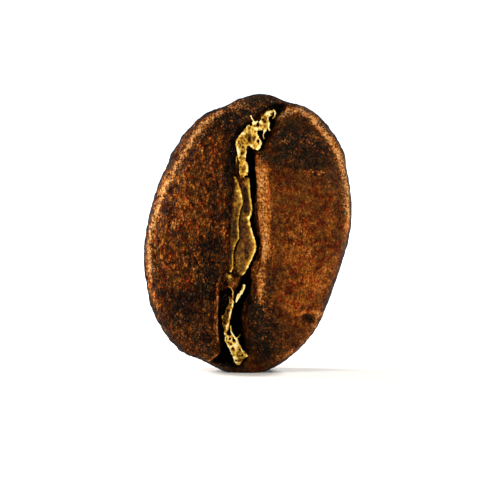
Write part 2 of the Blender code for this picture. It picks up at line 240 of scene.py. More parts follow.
RIBBON = {
    "lightness": 0.14,
    "crumple": 0.35,
    "painted_edge_highlight": 0.0,
    "outlines": (
        (-49, 760, -42, 756, -34, 737, -26, 715, -19, 688, -17, 657, -26, 635, -32, 608, -34, 577, -32, 547,
         -32, 524, -42, 508, -49, 493, -54, 470, -54, 439, -53, 416, -61, 393, -70, 397, -72, 432, -70, 470,
         -66, 501, -65, 539, -63, 585, -59, 631, -57, 669, -51, 707, -49, 730),
    ),
    "strands": (
        ((-80, 385, -65, 374, -68, 358), 16), ((-86, 378, -72, 382), 12), ((-68, 380, -60, 385, -61, 374), 5),
        ((-52, 760, -44, 745), 5),
    ),
    "holes": (
        ((-76, 368), 4),
    ),
    "folds": (
        ((-46, 756, -38, 737, -30, 715, -22, 688, -19, 657, -27, 635, -33, 608, -36, 577, -34, 551, -33, 528,
          -42, 510, -49, 495, -55, 470, -56, 439, -55, 416, -63, 397), 5.5, 110),
        ((-38, 707, -30, 684, -28, 665), 9, 75), ((-49, 657, -45, 642), 8, 35),
        ((-49, 585, -49, 531), 10, -25), ((-63, 478, -63, 432), 7, -30), ((-72, 380, -67, 366), 5, 60),
        ((-65, 382, -61, 376), 4, 110),
    ),
}
LEAF = {
    "lightness": 0.18,
    "crumple": 0.3,
    "painted_edge_highlight": 0.0,
    "outlines": (
        (-19, 745, -7, 753, 0, 756, 8, 756, 10, 722, 12, 688, 16, 662, 19, 635, 16, 616, 10, 604, 8, 597,
         12, 578, 19, 551, 29, 524, 35, 493, 29, 470, 16, 440, 0, 409, -13, 386, -23, 378, -34, 386, -42, 401,
         -46, 432, -45, 470, -40, 493, -30, 513, -26, 547, -28, 585, -24, 623, -15, 654, -15, 688, -21, 715),
    ),
    "strands": (
        ((-11, 603, 4, 606), 5),
    ),
    "holes": (
        ((14, 634), 3), ((-15, 730), 4),
    ),
    "folds": (
        ((6, 578, 16, 532, 22, 493, 13, 455, -4, 420), 8, 55),
        ((5, 756, 7, 730, 8, 700, 12, 673, 15, 650, 16, 637), 5, 135),
        ((13, 629, 13, 616, 6, 606, -7, 605), 5, 135),
        ((4, 602, 8, 581, 17, 553, 27, 524, 32, 493, 26, 470, 13, 440, -2, 409, -17, 388), 5.5, 130),
        ((-2, 745, 0, 707), 5, 30), ((-19, 738, -11, 730), 8, 35), ((-9, 715, -7, 669, -5, 631), 10, -55),
        ((-13, 585, -5, 547), 12, -25), ((-34, 478, -26, 432), 12, 10), ((-4, 486, 0, 447), 10, -30),
        ((-15, 516, -11, 432), 5, 22),
    ),
}
TUFT = {
    "lightness": 0.23,
    "crumple": 0.9,
    "painted_edge_highlight": 0.18,
    "outlines": (
        (-13, 351, -7, 343, -11, 327, -21, 310, -32, 293, -42, 277, -46, 279, -45, 295, -38, 310, -26, 326,
         -19, 343),
        (-59, 287, -51, 281, -55, 258, -63, 234, -67, 211, -70, 192, -78, 190, -82, 172, -88, 160, -92, 184,
         -97, 207, -97, 226, -88, 230, -80, 254, -70, 273),
        (-88, 160, -80, 155, -69, 149, -57, 153, -46, 143, -34, 133, -30, 117, -42, 104, -57, 102, -69, 100,
         -78, 113, -86, 129),
        (-65, 109, -50, 113, -30, 117, -23, 105, -17, 90, -7, 84, 4, 68, -7, 62, -15, 54, -23, 44, -30, 32,
         -44, 34, -52, 50, -59, 70, -67, 86, -69, 100),
    ),
    "strands": (
        ((-74, 340, -63, 337, -55, 320, -55, 300, -59, 285), 5.5), ((-69, 299, -67, 277), 6),
        ((-78, 192, -78, 176), 14), ((-64, 188, -63, 168, -53, 151, -44, 137), 6), ((-42, 137, -28, 153), 4),
        ((-4, 72, 10, 70), 5), ((-84, 172, -84, 153), 12),
    ),
    "holes": (
        ((-66, 137), 5), ((-52, 132), 5), ((-79, 139), 3.5), ((-56, 98), 4.5), ((-31, 94), 4),
        ((-45, 50), 3.5), ((-64, 115), 3), ((-74, 122), 3), ((-20, 73), 3),
    ),
    "folds": (
        ((-68, 324, -76, 277, -86, 230, -92, 176), 10, -70), ((-65, 281, -76, 246, -84, 215), 7, -50),
        ((-10, 347, -14, 329, -23, 314, -34, 297, -43, 281), 5, 140), ((-39, 308, -43, 289), 5, 80),
        ((-28, 322, -34, 308), 8, 25), ((-70, 339, -61, 333, -55, 318, -55, 298), 5, 120),
        ((-68, 297, -67, 279), 5, 90), ((-55, 283, -57, 262, -62, 242), 5, 110),
        ((-65, 234, -68, 215, -71, 195), 6, 130), ((-70, 273, -78, 250, -84, 228, -87, 207), 5, 55),
        ((-97, 226, -95, 211, -90, 188), 5, 25), ((-78, 184, -77, 178), 7, 110),
        ((-63, 184, -63, 166, -53, 149), 5, 120), ((-87, 157, -84, 133, -74, 111), 5, 100),
        ((-75, 149, -74, 129), 5, 110), ((-61, 143, -63, 129, -53, 117), 5, 120),
        ((-46, 139, -39, 123, -46, 106), 7, 120), ((-71, 108, -67, 88), 5, 90),
        ((-65, 104, -50, 111, -34, 113), 5, 90), ((-42, 102, -45, 80, -41, 56), 7, 115),
        ((-61, 86, -53, 64, -48, 46), 6, 90), ((-28, 109, -20, 90), 5, 100), ((-13, 80, -2, 69), 8, 100),
        ((-42, 42, -29, 38), 7, 80), ((-27, 74, -27, 54), 8, 10), ((-41, 139, -29, 151), 4, 60),
        ((-76, 246, -80, 207), 6, -25),
    ),
}
# Name, CAD node and cut
SHEETS = (
    ("skin_flake", "silverskin_flake", FLAKE),
    ("skin_ribbon", "silverskin_ribbon", RIBBON),
    ("skin_leaf", "silverskin_leaf", LEAF),
    ("skin_tuft", "silverskin_tuft", TUFT),
)

# Name, azimuth and elevation in degrees, distance and size in millimetres, power in watts, colour
LIGHTS = (
    ("key", -50.0, 38.0, 110.0, 50.0, 0.072, "#FFF6EA"),
    ("left_rim", -112.0, 28.0, 110.0, 36.0, 0.22, "#FFF8F0"),
    ("right_rim", 116.0, 42.0, 110.0, 36.0, 0.11, "#FFF8F0"),
    ("fill", 40.0, 30.0, 140.0, 80.0, 0.02, "#FFFFFF"),
)
LIGHT_AIM = 5.0
WORLD_STRENGTH = 0.20
# The floor, in metres and in millimetres behind the seed
FLOOR_SIZE = 1.6
FLOOR_FLAT = 500.0
FLOOR_BEND = 200.0


def linear(code):
    """An sRGB hex colour as linear red, green, blue and alpha."""
    channels = [int(code[start : start + 2], 16) / 255.0 for start in (1, 3, 5)]
    return (*(c / 12.92 if c <= 0.04045 else ((c + 0.055) / 1.055) ** 2.4 for c in channels), 1.0)


def colour_property(name, description, code):
    return FloatVectorProperty(
        name=name, description=description, subtype="COLOR", size=4, default=linear(code), min=0.0, max=1.0
    )


def length_property(name, description, millimetres):
    return FloatProperty(
        name=name,
        description=description,
        subtype="DISTANCE",
        unit="LENGTH",
        default=millimetres * MM,
        precision=6,
    )


def contrast_property(name, description, contrast):
    return FloatProperty(name=name, description=description, default=contrast, min=0.0, max=3.0)


def smooth_step(start, end, value):
    share = np.clip((value - start) / (end - start), 0.0, 1.0)
    return share * share * (3.0 - 2.0 * share)


def points_of(path):
    """A path as flat points in millimetres."""
    return np.reshape(path, (-1, 2)) / TABLE_SCALE


def distance_to(path, flat, closed=False):
    """How far each flat point is from a path, which runs back to its start if it is closed."""
    line = points_of(path)
    if closed:
        line = np.vstack((line, line[:1]))
    nearest = np.full(len(flat), np.inf)
    for start, end in zip(line, line[1:] if len(line) > 1 else line):
        along = end - start
        share = np.clip((flat - start) @ along / max(along @ along, 1e-12), 0.0, 1.0)
        nearest = np.minimum(nearest, np.linalg.norm(flat - start - share[:, None] * along, axis=1))
    return nearest


def inside(outline, flat):
    """Which flat points lie inside a closed outline."""
    corners = points_of(outline)
    odd = np.zeros(len(flat), bool)
    for (x0, z0), (x1, z1) in zip(corners, np.roll(corners, -1, axis=0)):
        if z0 == z1:
            continue
        crosses = (z0 > flat[:, 1]) != (z1 > flat[:, 1])
        odd ^= crosses & (flat[:, 0] < (x1 - x0) * (flat[:, 1] - z0) / (z1 - z0) + x0)
    return odd


def brushed(strokes, flat, strongest=False):
    """What a set of soft strokes leaves at each flat point: their sum, or only the strongest."""
    left = np.zeros(len(flat))
    for path, half_width, strength in strokes:
        away = distance_to(path, flat) / (half_width / TABLE_SCALE)
        mark = strength / TABLE_SCALE * np.exp(-(away**2))
        left = np.maximum(left, mark) if strongest else left + mark
    return left


def patched(patches, flat):
    """What a set of soft-edged patches leaves at each flat point."""
    left = np.zeros(len(flat))
    for outline, softness, strength in patches:
        edge = distance_to(outline, flat, closed=True)
        depth = np.where(inside(outline, flat), edge, -edge)
        left += strength / TABLE_SCALE * smooth_step(-softness / TABLE_SCALE, softness / TABLE_SCALE, depth)
    return left


def noise_at(points, stretch, seed=0.0):
    """Smooth noise at each point, from -1 to 1, with features as long as stretch says on each axis."""
    places = points / np.array(stretch, float) + seed
    return np.array([noise.noise(place) for place in places])


def wander(points, stretch, seeds):
    """Smooth noise across and up the face, to make edges ragged."""
    return np.column_stack([noise_at(points, stretch, seed) for seed in seeds])


def read_vectors(items, name):
    """One vector of each vertex or face of a mesh."""
    flat = np.empty(len(items) * 3)
    items.foreach_get(name, flat)
    return flat.reshape(-1, 3)


def coordinates(mesh):
    """A mesh's points in millimetres."""
    return read_vectors(mesh.vertices, "co") / MM


def place_points(mesh, points):
    """Moves a mesh's points to places given in millimetres, kept inside the box of the CAD model."""
    low, high = (np.array(corner) for corner in cad_box)
    mesh.vertices.foreach_set("co", np.clip(points * MM, low, high).ravel())
    mesh.update()


def paint(mesh, name, values):
    """Stores one number a point, for a material to read."""
    mesh.attributes.new(name, "FLOAT", "POINT").data.foreach_set("value", np.asarray(values, np.float32))


def select_only(piece):
    bpy.ops.object.select_all(action="DESELECT")
    piece.select_set(True)
    bpy.context.view_layer.objects.active = piece


def apply_modifiers(piece):
    select_only(piece)
    for modifier in list(piece.modifiers):
        bpy.ops.object.modifier_apply(modifier=modifier.name)


def finish_piece(piece, material, node):
    """Gives a piece its finish, and has it stand for its CAD node."""
    piece.data.materials.clear()
    piece.data.materials.append(material)
    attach(piece, "root")
    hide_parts(node)


class FilledFace:
    """The seed as it would be with its crease filled in, for how deep anything lies in the crease."""

    def __init__(self, mesh):
        shape = bmesh.new()
        shape.from_mesh(mesh)
        hull = bmesh.ops.convex_hull(shape, input=shape.verts)
        unused = hull["geom_interior"] + hull["geom_unused"]
        spare = [item for item in unused if isinstance(item, bmesh.types.BMVert)]
        bmesh.ops.delete(shape, geom=spare, context="VERTS")
        loose = [face for face in shape.faces if face not in set(hull["geom"])]
        bmesh.ops.delete(shape, geom=loose, context="FACES")
        self.tree = BVHTree.FromBMesh(shape)
        shape.free()

    def front(self, flat):
        """The depth of the face behind each flat point, in millimetres."""
        forward = Vector((0.0, 1.0, 0.0))
        places = [self.tree.ray_cast(Vector((x * MM, -0.1, z * MM)), forward)[0] for x, z in flat]
        depths = np.array([np.nan if place is None else place.y / MM for place in places])
        return np.where(np.isnan(depths), np.nanmean(depths), depths)

    def sunk(self, points):
        """How far each point lies under the filled surface, in millimetres."""
        return np.array([self.tree.find_nearest(Vector(point * MM))[3] / MM for point in points])


def per_metre(millimetres):
    """How many features a metre holds, from their spacing."""
    return 1.0 / (millimetres * MM)


def fill_inputs(node, inputs):
    """Links a node's inputs to sockets, or sets them to values."""
    for key, value in inputs.items():
        if isinstance(value, bpy.types.NodeSocket):
            node.id_data.links.new(value, node.inputs[key])
        else:
            node.inputs[key].default_value = value


def add_node(tree, kind, inputs=None, output=0, stops=(), **settings):
    """Adds a shader node with its settings, inputs and colour stops, and gives one of its outputs."""
    node = tree.nodes.new("ShaderNode" + kind)
    for name, value in settings.items():
        setattr(node, name, value)
    fill_inputs(node, inputs or {})
    for index, (place, colour) in enumerate(stops):
        ramp = node.color_ramp.elements
        stop = ramp[index] if index < 2 else ramp.new(place)
        stop.position = place
        stop.color = colour
    return node.outputs[output]


def new_material(name):
    """A new material, its shader, and the function that adds a node to it."""
    material = bpy.data.materials.new(name)
    material.use_nodes = True
    tree = material.node_tree
    return material, tree.nodes["Principled BSDF"], partial(add_node, tree)


def roasted_seed(settings):
    """Roasted seed coat: dry, finely grained, mottled from red brown to near black, with a thin oily sheen.

    To the eye it is matt brown with glints, partly real gloss where oil sits on the grain and partly painted
    glints, with painted highlights in tan on the rims, lips and crests, and painted shade in black in the
    crease.
    """
    material, shader, add = new_material("roasted_seed_coat")
    place = add("TexCoord", output="Object")
    roast = add("Attribute", output="Fac", attribute_name="roast")
    granular = add("Attribute", output="Fac", attribute_name="granular")
    mossy = add("Attribute", output="Fac", attribute_name="mossy")
    streaked = add("Attribute", output="Fac", attribute_name="streaked")
    # Grain of the seed coat, 0.07 mm apart, and stronger where the coat is granular or greenish
    grain = add("TexNoise", {"Vector": place, "Scale": per_metre(0.07), "Detail": 2.0, "Roughness": 0.6})
    rougher = add("Math", {0: mossy, 1: 1.6, 2: granular}, operation="MULTIPLY_ADD")
    gain = settings.grain_contrast
    grain_gain = add("Math", {0: rougher, 1: 1.8 * gain, 2: gain}, operation="MULTIPLY_ADD")
    # Blotches left by uneven roasting, 0.22 mm and 1.1 mm across
    blotch = add("TexNoise", {"Vector": place, "Scale": per_metre(0.22), "Detail": 2.0, "Roughness": 0.6})
    cloud = add("TexNoise", {"Vector": place, "Scale": per_metre(1.1), "Detail": 2.0})
    blotchy = add("Math", {0: streaked, 1: 0.5, 2: 0.5}, operation="MULTIPLY_ADD")
    blotchy = add("Math", {0: mossy, 1: 2.0, 2: blotchy}, operation="MULTIPLY_ADD")
    blotch_gain = add("Math", {0: blotchy, 1: settings.blotch_contrast}, operation="MULTIPLY")
    # Fibres of the seed coat, 0.06 mm apart and twice as long, up the seed
    drawn_out = add("VectorMath", {0: place, 1: (1.0, 1.0, 0.45)}, operation="MULTIPLY")
    fibre = add(
        "TexNoise",
        {"Vector": drawn_out, "Scale": per_metre(0.058), "Detail": 2.0, "Roughness": 0.6, "Distortion": 0.6},
    )
    fibre_gain = add("Math", {0: streaked, 1: settings.fibre_contrast}, operation="MULTIPLY")
    # Leathery cells 0.13 mm wide and twice as tall, with dark cracks between them, bent by up to 0.12 mm
    bend = add("TexNoise", {"Vector": place, "Scale": per_metre(0.15), "Detail": 2.0}, output="Color")
    bend = add("VectorMath", {0: bend, 1: (0.5, 0.5, 0.5)}, operation="SUBTRACT")
    bent = add("VectorMath", {0: bend, 1: (0.24 * MM,) * 3, 2: drawn_out}, operation="MULTIPLY_ADD")
    cells = add("TexVoronoi", {"Vector": bent, "Scale": per_metre(0.13)}, feature="DISTANCE_TO_EDGE")
    cell_height = add("MapRange", {"Value": cells, "From Max": 0.22})
    crack_gain = add("Math", {0: streaked, 1: settings.crack_contrast}, operation="MULTIPLY")
    cracked = add("Math", {0: cell_height, 1: 0.6}, operation="SUBTRACT")
    level = add("Math", {0: cracked, 1: crack_gain, 2: roast}, operation="MULTIPLY_ADD")
    for texture, gain in (
        (grain, grain_gain),
        (blotch, blotch_gain),
        (cloud, settings.cloud_contrast),
        (fibre, fibre_gain),
    ):
        centred = add("Math", {0: texture, 1: 0.5}, operation="SUBTRACT")
        level = add("Math", {0: centred, 1: gain, 2: level}, operation="MULTIPLY_ADD")
    # Nought on this ramp is reached in the painted shade of the crease, and the top in the painted highlights
    # of the rims and lips
    stops = (
        (0.0, settings.painted_crease_shade),
        (1.0, settings.crest_highlight),
        (0.22, settings.dark_roast),
        (0.42, settings.brown_roast),
        (0.60, settings.red_roast),
        (0.78, settings.tan_roast),
    )
    brown = add("ValToRGB", {"Fac": level}, stops=stops)
    # Sockets 6 and 7 of a Mix node are those for colours, and so is its output 2
    tint = {"output": 2, "data_type": "RGBA", "blend_type": "SOFT_LIGHT"}
    cover = {"output": 2, "data_type": "RGBA"}
    # Reddish patches 0.24 mm apart, faint on the lips
    patch = add(
        "TexNoise",
        {"Vector": place, "Scale": per_metre(0.24), "Detail": 3.0, "Roughness": 0.6, "Distortion": 0.4},
    )
    red_share = add("MapRange", {"Value": patch, "From Min": 0.44, "From Max": 0.62, "To Max": 0.78})
    off_lips = add("Math", {0: granular, 1: -0.8, 2: 1.0}, operation="MULTIPLY_ADD")
    red_share = add("Math", {0: red_share, 1: off_lips}, operation="MULTIPLY")
    reddened = add("Mix", {"Factor": red_share, 6: brown, 7: settings.red_tint}, **tint)
    # Olive patches 0.12 mm apart
    patch = add("TexNoise", {"Vector": bent, "Scale": per_metre(0.12), "Detail": 2.0, "Roughness": 0.6})
    olive_share = add("MapRange", {"Value": patch, "From Min": 0.46, "From Max": 0.68, "To Max": 0.8})
    olived = add("Mix", {"Factor": olive_share, 6: reddened, 7: settings.olive_tint}, **tint)
    # Dark greenish patches 0.45 mm apart
    patch = add("TexNoise", {"Vector": place, "Scale": per_metre(0.45), "Detail": 3.0, "Roughness": 0.6})
    moss_level = add("Math", {0: mossy, 1: 0.55, 2: patch}, operation="MULTIPLY_ADD")
    moss_share = add("MapRange", {"Value": moss_level, "From Min": 0.62, "From Max": 0.95, "To Max": 0.30})
    mossed = add("Mix", {"Factor": moss_share, 6: olived, 7: settings.moss_tint}, **cover)
    # Painted glints: pale specks where single fibres would catch the light, in clusters 0.4 mm apart and
    # thickest on the lips
    painted_glint = add("TexNoise", {"Vector": place, "Scale": per_metre(0.06), "Detail": 2.0, "Roughness": 0.6})
    cluster = add("TexNoise", {"Vector": place, "Scale": per_metre(0.4), "Detail": 1.0})
    painted_glint_level = add("Math", {0: cluster, 1: 0.35, 2: painted_glint}, operation="MULTIPLY_ADD")
    painted_glint_level = add("Math", {0: granular, 1: 0.16, 2: painted_glint_level}, operation="MULTIPLY_ADD")
    painted_glint_level = add("Math", {0: mossy, 1: -0.10, 2: painted_glint_level}, operation="MULTIPLY_ADD")
    painted_glint_share = add(
        "MapRange",
        {"Value": painted_glint_level, "From Min": 0.82, "From Max": 0.98, "To Max": settings.painted_glint_contrast},
    )
    painted_glint_gain = add("Math", {0: streaked, 1: granular}, operation="MAXIMUM")
    painted_glint_gain = add("Math", {0: painted_glint_gain, 1: painted_glint_share}, operation="MULTIPLY")
    painted_glint_colour = add("Mix", {"Factor": granular, 6: settings.painted_glint, 7: settings.lip_painted_glint}, **cover)
    with_painted_glints = add("Mix", {"Factor": painted_glint_gain, 6: mossed, 7: painted_glint_colour}, **cover)
    relief = add("Math", {0: blotch, 1: 2.0, 2: grain}, operation="MULTIPLY_ADD")
    relief = add("Math", {0: fibre, 1: fibre_gain, 2: relief}, operation="MULTIPLY_ADD")
    relief = add("Math", {0: cell_height, 1: streaked, 2: relief}, operation="MULTIPLY_ADD")
    # Oilier and glossier where a blotch is light
    gloss = {"Value": blotch, "From Min": 0.3, "From Max": 0.7, "To Min": 0.58, "To Max": 0.40}
    inputs = {
        "Base Color": with_painted_glints,
        "Roughness": add("MapRange", gloss),
        "IOR": 1.47,
        "Specular IOR Level": 0.035,
        "Normal": add("Bump", {"Height": relief, "Strength": 1.0, "Distance": settings.grain_height}),
    }
    fill_inputs(shader, inputs)
    return material


def golden_silverskin(settings):
    """Torn silverskin: a papery skin 0.02 mm thick, roasted to gold.

    Its folds, crumples and torn edges get painted highlights in bright yellow to cream, its sunk folds and
    hollows painted shade, and it is olive brown where it lies flat and lets the dark seed through.
    """
    material, shader, add = new_material("golden_silverskin")
    place = add("TexCoord", output="Object")
    crest_highlight = add("Attribute", output="Fac", attribute_name="crest_highlight")
    # Crumples 0.11 mm apart, and browner patches of 0.3 mm
    crumple = add("TexNoise", {"Vector": place, "Scale": per_metre(0.11), "Detail": 3.0, "Roughness": 0.65})
    centred = add("Math", {0: crumple, 1: 0.5}, operation="SUBTRACT")
    level = add("Math", {0: centred, 1: settings.crumple_contrast, 2: crest_highlight}, operation="MULTIPLY_ADD")
    stops = (
        (0.0, settings.shadowed),
        (1.0, settings.cream),
        (0.25, settings.olive),
        (0.50, settings.ochre),
        (0.78, settings.yellow),
    )
    gold = add("ValToRGB", {"Fac": level}, stops=stops)
    patch = add("TexNoise", {"Vector": place, "Scale": per_metre(0.3), "Detail": 2.0})
    share = add("MapRange", {"Value": patch, "From Min": 0.45, "From Max": 0.70, "To Max": 0.6})
    # Sockets 6 and 7 of a Mix node are those for colours, and so is its output 2
    toasted = add(
        "Mix",
        {"Factor": share, 6: gold, 7: settings.toasted},
        output=2,
        data_type="RGBA",
        blend_type="SOFT_LIGHT",
    )
    inputs = {
        "Base Color": toasted,
        "Roughness": 0.45,
        "IOR": 1.5,
        "Specular IOR Level": 0.08,
        "Normal": add("Bump", {"Height": crumple, "Strength": 0.8, "Distance": 0.02 * MM}),
    }
    fill_inputs(shader, inputs)
    return material


def white_card(settings):
    """Matt white card, lit more evenly than the lamps manage, and brightest from 60 mm outwards."""
    material, shader, add = new_material("white_card")
    away = add("VectorMath", {0: add("TexCoord", output="Object")}, output="Value", operation="LENGTH")
    glow = {"Value": away, "From Min": 8.0 * MM, "From Max": 60.0 * MM, "To Min": 0.05, "To Max": 1.25}
    inputs = {
        "Base Color": settings.floor_colour,
        "Roughness": 0.9,
        "Specular IOR Level": 0.1,
        "Emission Color": settings.shade_colour,
        "Emission Strength": add("MapRange", glow),
    }
    fill_inputs(shader, inputs)
    return material


class SeedSettings(bpy.types.PropertyGroup):
    """Relief and colours of the seed."""

    wrinkle_height: length_property("Wrinkles", "Height of the wrinkles that run up the seed", 0.050)
    swell_height: length_property("Swells", "Height of the slow unevenness of the seed", 0.035)
    grain_height: length_property("Grain", "Height of the grain of the seed coat", 0.060)
    grain_contrast: contrast_property("Grain contrast", "How much the grain varies the roast", 0.68)
    blotch_contrast: contrast_property("Blotch contrast", "How much the blotches vary the roast", 0.52)
    cloud_contrast: contrast_property("Cloud contrast", "How much the roast varies across the seed", 0.34)
    fibre_contrast: contrast_property("Fibre contrast", "How much the fibres vary the roast", 0.92)
    crack_contrast: contrast_property("Crack contrast", "How much darker the cracks are", 0.22)
    # Strength of the painted glints
    painted_glint_contrast: contrast_property("Fleck contrast", "How strong the pale flecks are", 0.75)
    # The colour of the painted shade deep in the crease
    painted_crease_shade: colour_property("Charred", "Colour in the depth of the crease", "#070403")
    dark_roast: colour_property("Dark roast", "Colour of the darkest patches", "#1C160E")
    brown_roast: colour_property("Brown roast", "Colour between the dark patches and the red", "#44280C")
    red_roast: colour_property("Red roast", "Colour of the plain seed coat", "#744010")
    # Tan and the colour at the top of the ramp are the painted highlights on the rims and lips
    tan_roast: colour_property("Tan roast", "Colour of the lips and rims", "#BC6E22")
    crest_highlight: colour_property("Crest", "Colour of the worn crests", "#E4AE68")
    # Colours of the painted glints, paler on the lips and rims
    painted_glint: colour_property("Flecks", "Colour of the pale flecks", "#B4805C")
    lip_painted_glint: colour_property("Lip flecks", "Colour of the flecks on the lips and rims", "#FFD08C")
    red_tint: colour_property("Red tint", "Tint of the reddish patches", "#8C2410")
    olive_tint: colour_property("Olive tint", "Tint of the olive patches", "#4E5010")
    moss_tint: colour_property("Moss tint", "Tint of the dark greenish patches", "#1A1C12")


class SilverskinSettings(bpy.types.PropertyGroup):
    """Sizes and colours of the silverskin."""

    thickness: length_property("Thickness", "Thickness of the skin", 0.02)
    cell: length_property("Cell", "Spacing of the points on a sheet", 0.022)
    fold_height: length_property("Folds", "Height of a fold of strength one", 0.12)
    crumple_height: length_property("Crumples", "Height of the small crumples", 0.06)
    tear: length_property("Tear", "How far torn edges wander", 0.03)
    crumple_contrast: contrast_property("Crumple contrast", "How much the crumples vary the colour", 0.9)
    shadowed: colour_property("Shadowed", "Colour in the hollows", "#140C05")
    toasted: colour_property("Toasted", "Tint of the browner patches", "#8E4A10")
    olive: colour_property("Olive", "Colour where the skin lies flat", "#583608")
    ochre: colour_property("Ochre", "Colour of the open skin", "#A0741C")
    yellow: colour_property("Yellow", "Colour of the folds", "#E8C050")
    cream: colour_property("Cream", "Colour of the brightest folds and edges", "#FFF0B0")


class StageSettings(bpy.types.PropertyGroup):
    """Camera, lights and floor."""

    elevation: FloatProperty(
        name="Elevation",
        description="Height of the camera over the horizon",
        subtype="ANGLE",
        unit="ROTATION",
        default=math.radians(4.0),
    )
    lens: FloatProperty(
        name="Lens", description="Focal length of the camera, in millimetres", default=360.0, min=20.0
    )
    view_width: length_property("View width", "Width of the view at the seed", 19.29)
    aim_x: length_property("Aim across", "Where the camera looks, across the seed", 0.098)
    aim_z: length_property("Aim up", "Where the camera looks, up the seed", 4.644)
    floor_colour: colour_property("Floor", "Colour of the floor", "#F4F4F2")
    shade_colour: colour_property("Shade", "Colour of the light in the shade", "#DCEBFF")


class BEAN_OT_seed(bpy.types.Operator):
    """Sculpts and shades the seed from a finer copy of its CAD node"""

    bl_idname = "bean.seed"
    bl_label = "Seed"

    def execute(self, context):
        settings = context.scene.bean_seed
        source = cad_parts["bean"]
        filled = FilledFace(source.data)
        mesh = source.data.copy()
        mesh.name = "seed"
        piece = bpy.data.objects.new("seed", mesh)
        context.scene.collection.objects.link(piece)
        self.refine(piece)
        points = coordinates(mesh)
        front = smooth_step(*FRONT_TURN, self.normals(mesh)[:, 1])
        self.sculpt(mesh, points, front, filled.sunk(points), settings)
        points = coordinates(mesh)
        self.shade(mesh, points, front, filled.sunk(points))
        finish_piece(piece, roasted_seed(settings), "bean")
        return {"FINISHED"}

    def refine(self, piece):
        """Merges the loose triangles, pairs them and subdivides them, once more round the crease."""
        select_only(piece)
        bpy.ops.object.mode_set(mode="EDIT")
        bpy.ops.mesh.select_all(action="SELECT")
        bpy.ops.mesh.remove_doubles(threshold=0.0005 * MM)
        bpy.ops.mesh.customdata_custom_splitnormals_clear()
        bpy.ops.mesh.tris_convert_to_quads(face_threshold=math.pi, shape_threshold=math.pi)
        bpy.ops.object.mode_set(mode="OBJECT")
        finer = piece.modifiers.new("finer", "SUBSURF")
        finer.levels = finer.render_levels = 2
        apply_modifiers(piece)
        faces = piece.data.polygons
        centres = read_vectors(faces, "center") / MM
        faces.foreach_set("select", inside(FINE_FACE, centres[:, [0, 2]]) & (centres[:, 1] < FINE_FRONT))
        bpy.context.tool_settings.mesh_select_mode = (False, False, True)
        bpy.ops.object.mode_set(mode="EDIT")
        bpy.ops.mesh.subdivide()
        bpy.ops.object.mode_set(mode="OBJECT")
        bpy.ops.object.shade_smooth()

    def normals(self, mesh):
        return read_vectors(mesh.vertices, "normal")

    def wrinkling(self, points, front):
        """How wrinkled the coat is: fully on the left lobe, not on the right one, and evenly behind."""
        return front * smooth_step(*LEFT_LOBE, points[:, 0]) + 0.6 * (1.0 - front)

    def sculpt(self, mesh, points, front, sunk, settings):
        """Raises and sinks strokes on the face, and wrinkles the whole seed."""
        flat = points[:, [0, 2]]
        swell_height, wrinkle_height = settings.swell_height / MM, settings.wrinkle_height / MM
        height = front * (brushed(RAISED_STROKES, flat) - brushed(SUNK_STROKES, flat))
        height += swell_height * (noise_at(points, (1.5, 1.5, 2.2)) - 0.1)
        wrinkled = 0.45 + 0.55 * self.wrinkling(points, front)
        # Long wrinkles up the seed, then short ones
        height += 0.6 * wrinkle_height * wrinkled * noise_at(points, (0.20, 0.25, 0.9), 7.0)
        height += 0.8 * wrinkle_height * wrinkled * noise_at(points, (0.13, 0.15, 0.24), 3.0)
        granular = brushed(GRANULAR_STROKES, flat, strongest=True)
        height += GRANULE_HEIGHT * granular * front * noise_at(points, (0.09, 0.09, 0.11), 13.0)
        height *= 1.0 - 0.7 * smooth_step(*CREASE_BOTTOM, sunk)
        height *= smooth_step(*OVER_THE_FOOT, points[:, 2])
        for outline, softness, depth in SHELVES:
            below = np.maximum(sunk - depth / TABLE_SCALE, 0.0)
            height += patched([(outline, softness, TABLE_SCALE)], flat) * below * front
        # Points in the crease move straight to the front, so that its walls stay in place
        forward = smooth_step(*CREASE_WALLS, sunk)[:, None]
        direction = self.normals(mesh) * (1.0 - forward) + np.array([0.0, -1.0, 0.0]) * forward
        sculpted = points + direction * height[:, None]
        # The corners of the foot are more worn than those of the CAD model
        worn = np.clip(1.0 - points[:, 2] / FOOT_HEIGHT, 0.0, 1.0) ** 2
        for width, across in FOOT_WEAR:
            sculpted[:, 0] += width * worn * smooth_step(*across, points[:, 0])
        place_points(mesh, sculpted)

    def shade(self, mesh, points, front, sunk):
        """Stores the roast with painted highlights and shade, how granular and streaked the coat, and where
        it is greenish.
        """
        flat = points[:, [0, 2]]
        ragged = flat + 0.05 * wander(points, (0.25, 0.25, 0.25), (17.0, 43.0))
        # The strokes and patches paint highlights on the rims, lips and lit edges and shade in the crease and
        # the hollow, besides lighter and darker roast
        roast = 0.50 + front * (brushed(ROAST_AND_PAINTED_LIGHT_STROKES, flat) + patched(ROAST_AND_PAINTED_LIGHT_PATCHES, ragged))
        # Slow changes of the roast, then the light and dark of the wrinkles
        roast += 0.05 * noise_at(points, (0.9, 0.9, 1.6), 11.0)
        wrinkled = self.wrinkling(points, front)
        roast += 0.16 * wrinkled * noise_at(points, (0.14, 0.2, 0.32), 5.0)
        # Painted shade: darker low down on the left lobe, darker deep in the crease, and darker on the flanks
        # just past the rims than on the rims
        painted_low_left_shade = front * smooth_step(*LEFT_LOBE, points[:, 0]) * smooth_step(*LOWER_HALF, points[:, 2])
        roast -= 0.10 * painted_low_left_shade
        roast -= 0.50 * smooth_step(*PAINTED_CREASE_SHADE_DEPTH, sunk)
        towards_back = self.normals(mesh)[:, 1]
        painted_side_shade = smooth_step(*PAST_THE_RIM, towards_back) * smooth_step(*BEFORE_THE_BACK, towards_back)
        roast -= 0.34 * painted_side_shade
        granular = np.clip(front * brushed(GRANULAR_STROKES, flat, strongest=True), 0.0, 1.0)
